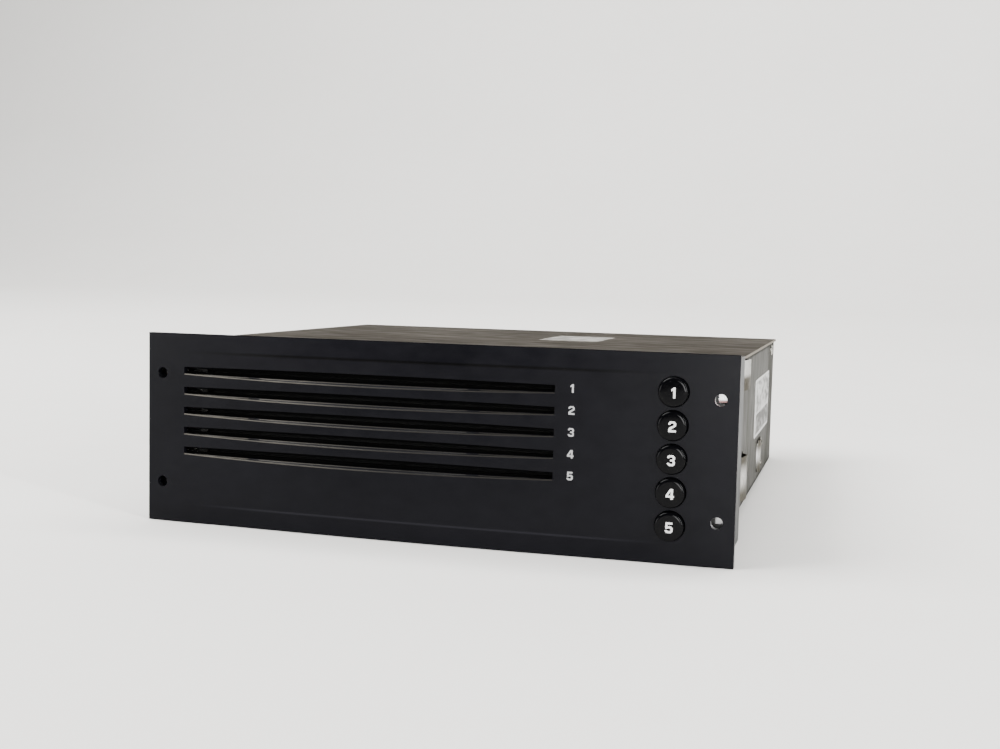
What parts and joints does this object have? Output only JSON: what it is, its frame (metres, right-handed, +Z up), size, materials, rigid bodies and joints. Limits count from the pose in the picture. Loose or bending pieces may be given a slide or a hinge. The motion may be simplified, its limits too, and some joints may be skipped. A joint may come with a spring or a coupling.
{
  "type": "car disc changer",
  "caption": "In-dash car disc changer with a row of long slots, round push buttons, a bare metal case and a swing-in play arm.",
  "frame": {"origin": "under the middle of the unit, at the height of the faceplate's lower edge", "axes": "+X to the right as seen from the front, +Y into the dashboard, +Z up"},
  "size_m": [0.188, 0.1868, 0.0607],
  "materials": {
    "face_plastic": "satin black moulded plastic",
    "button_plastic": "glossy black with a white numeral",
    "frame_steel": "zinc plated sheet, light grey",
    "case_steel": "zinc plated sheet, dulled",
    "cover_steel": "sheet with a brownish tarnish",
    "spring_steel": "bright spring steel",
    "label": "blank sticker",
    "screw_steel": "zinc plated",
    "felt": "black felt",
    "circuit_board": "green board",
    "mat_rubber": "grey silicone rubber",
    "shelf_plastic": "black moulded plastic",
    "roller_rubber": "black rubber on a steel shaft",
    "shaft_steel": "ground steel",
    "mech_steel": "zinc plated plate",
    "motor_can": "drawn motor can",
    "white_plastic": "natural acetal plastic",
    "black_plastic": "black moulded plastic",
    "contact_brass": "plated contact"
  },
  "bodies": {
    "case": {"faceplate": "face_plastic", "slot_felts": "felt", "front_frame": "frame_steel", "chassis": "case_steel", "top_cover": "cover_steel", "rear_panel": "case_steel", "case_screws": "screw_steel", "front_screws": "screw_steel", "mech_screws": "screw_steel", "rear_stud": "screw_steel", "side_label": "label", "top_label": "label", "catches_left": "spring_steel", "catches_right": "spring_steel", "key_mat": "mat_rubber", "key_board": "circuit_board", "guide_posts": "shaft_steel", "roller_plate_left": "mech_steel", "roller_plate_right": "mech_steel", "feed_belt": "roller_rubber", "drive_bracket": "mech_steel", "feed_motor": "motor_can", "hanger_plate": "mech_steel", "lift_motor": "motor_can", "pivot_post": "shaft_steel", "main_board": "circuit_board", "board_parts": "black_plastic", "bus_socket": "black_plastic", "socket_pins": "contact_brass", "shelf_5": "shelf_plastic"},
    "upper_shelves": {"shelf_1": "shelf_plastic", "shelf_2": "shelf_plastic", "shelf_3": "shelf_plastic", "shelf_4": "shelf_plastic"},
    "lift_cams": {"lift_cam_left": "mech_steel", "lift_cam_right": "mech_steel", "cam_link": "mech_steel"},
    "lift_screw": {"lift_screw": "shaft_steel"},
    "play_arm": {"swing_arm": "mech_steel", "clamp_arm": "mech_steel", "spindle_motor": "motor_can", "guide_rod": "shaft_steel", "sled_motor": "motor_can"},
    "turntable": {"turntable": "black_plastic"},
    "clamp_puck": {"clamp_puck": "white_plastic"},
    "pickup_sled": {"pickup_sled": "black_plastic"},
    "lead_screw": {"lead_screw": "shaft_steel"},
    "drive_pulley": {"drive_pulley": "white_plastic"},
    "idler_top": {"idler_top": "white_plastic"},
    "idler_bottom": {"idler_bottom": "white_plastic"},
    "button_1": {"button_1": "button_plastic"},
    "feed_roller_1": {"feed_roller_1": "roller_rubber"},
    "button_2": {"button_2": "button_plastic"},
    "feed_roller_2": {"feed_roller_2": "roller_rubber"},
    "button_3": {"button_3": "button_plastic"},
    "feed_roller_3": {"feed_roller_3": "roller_rubber"},
    "button_4": {"button_4": "button_plastic"},
    "feed_roller_4": {"feed_roller_4": "roller_rubber"},
    "button_5": {"button_5": "button_plastic"},
    "feed_roller_5": {"feed_roller_5": "roller_rubber"}
  },
  "joints": [
    {"name": "button_1_press", "type": "slide", "parent": "case", "child": "button_1", "axis": [0, 1, 0], "range_m": [0, 0.0012], "stiffness_N_per_m": 250, "springref_m": -0.003, "deforming": ["key_mat"]},
    {"name": "button_2_press", "type": "slide", "parent": "case", "child": "button_2", "axis": [0, 1, 0], "range_m": [0, 0.0012], "stiffness_N_per_m": 250, "springref_m": -0.003},
    {"name": "button_3_press", "type": "slide", "parent": "case", "child": "button_3", "axis": [0, 1, 0], "range_m": [0, 0.0012], "stiffness_N_per_m": 250, "springref_m": -0.003},
    {"name": "button_4_press", "type": "slide", "parent": "case", "child": "button_4", "axis": [0, 1, 0], "range_m": [0, 0.0012], "stiffness_N_per_m": 250, "springref_m": -0.003},
    {"name": "button_5_press", "type": "slide", "parent": "case", "child": "button_5", "axis": [0, 1, 0], "range_m": [0, 0.0012], "stiffness_N_per_m": 250, "springref_m": -0.003},
    {"name": "drive_pulley_turn", "type": "hinge", "parent": "case", "child": "drive_pulley", "pos_m": [0.049, -0.05856, 0.044], "axis": [1, 0, 0], "continuous": true},
    {"name": "idler_top_turn", "type": "hinge", "parent": "case", "child": "idler_top", "pos_m": [0.049, -0.07136, 0.0529], "axis": [1, 0, 0], "continuous": true},
    {"name": "idler_bottom_turn", "type": "hinge", "parent": "case", "child": "idler_bottom", "pos_m": [0.049, -0.07136, 0.0135], "axis": [1, 0, 0], "continuous": true},
    {"name": "feed_roller_1_turn", "type": "hinge", "parent": "case", "child": "feed_roller_1", "pos_m": [0, -0.07156, 0.04627], "axis": [1, 0, 0], "continuous": true},
    {"name": "feed_roller_2_turn", "type": "hinge", "parent": "case", "child": "feed_roller_2", "pos_m": [0, -0.07156, 0.03987], "axis": [1, 0, 0], "continuous": true},
    {"name": "feed_roller_3_turn", "type": "hinge", "parent": "case", "child": "feed_roller_3", "pos_m": [0, -0.07156, 0.03347], "axis": [1, 0, 0], "continuous": true},
    {"name": "feed_roller_4_turn", "type": "hinge", "parent": "case", "child": "feed_roller_4", "pos_m": [0, -0.07156, 0.02707], "axis": [1, 0, 0], "continuous": true},
    {"name": "feed_roller_5_turn", "type": "hinge", "parent": "case", "child": "feed_roller_5", "pos_m": [0, -0.07156, 0.02067], "axis": [1, 0, 0], "continuous": true},
    {"name": "cam_slide", "type": "slide", "parent": "case", "child": "lift_cams", "axis": [0, 1, 0], "range_m": [0, 0.006]},
    {"name": "shelf_lift", "type": "slide", "parent": "case", "child": "upper_shelves", "axis": [0, 0, 1], "range_m": [0, 0.004]},
    {"name": "lift_screw_turn", "type": "hinge", "parent": "case", "child": "lift_screw", "pos_m": [0.0602, 0.04944, 0.04187], "axis": [0, 1, 0], "range_deg": [0, 2160]},
    {"name": "arm_swing", "type": "hinge", "parent": "case", "child": "play_arm", "pos_m": [0.07, 0.05945, 0.02], "axis": [0, 0, -1], "range_deg": [0, 54.55]},
    {"name": "turntable_spin", "type": "hinge", "parent": "play_arm", "child": "turntable", "pos_m": [0.07, -0.05091, 0.018], "axis": [0, 0, 1], "continuous": true},
    {"name": "clamp_spin", "type": "hinge", "parent": "play_arm", "child": "clamp_puck", "pos_m": [0.07, -0.05091, 0.026], "axis": [0, 0, 1], "continuous": true},
    {"name": "sled_slide", "type": "slide", "parent": "play_arm", "child": "pickup_sled", "axis": [0, 1, 0], "range_m": [0, 0.033]},
    {"name": "lead_screw_turn", "type": "hinge", "parent": "play_arm", "child": "lead_screw", "pos_m": [0.077, -0.01056, 0.0158], "axis": [0, 1, 0], "range_deg": [0, 5940]}
  ],
  "couplings": [
    {"joint": "idler_top_turn", "follows": "drive_pulley_turn", "ratio": 1.5385},
    {"joint": "idler_bottom_turn", "follows": "drive_pulley_turn", "ratio": 1.5385},
    {"joint": "feed_roller_1_turn", "follows": "drive_pulley_turn", "ratio": 1.6667},
    {"joint": "feed_roller_2_turn", "follows": "drive_pulley_turn", "ratio": 1.6667},
    {"joint": "feed_roller_3_turn", "follows": "drive_pulley_turn", "ratio": 1.6667},
    {"joint": "feed_roller_4_turn", "follows": "drive_pulley_turn", "ratio": 1.6667},
    {"joint": "feed_roller_5_turn", "follows": "drive_pulley_turn", "ratio": 1.6667},
    {"joint": "shelf_lift", "follows": "cam_slide", "ratio": 0.66667},
    {"joint": "lift_screw_turn", "follows": "cam_slide", "rad_per_m": 6283.2},
    {"joint": "lead_screw_turn", "follows": "sled_slide", "rad_per_m": 3141.6}
  ]
}
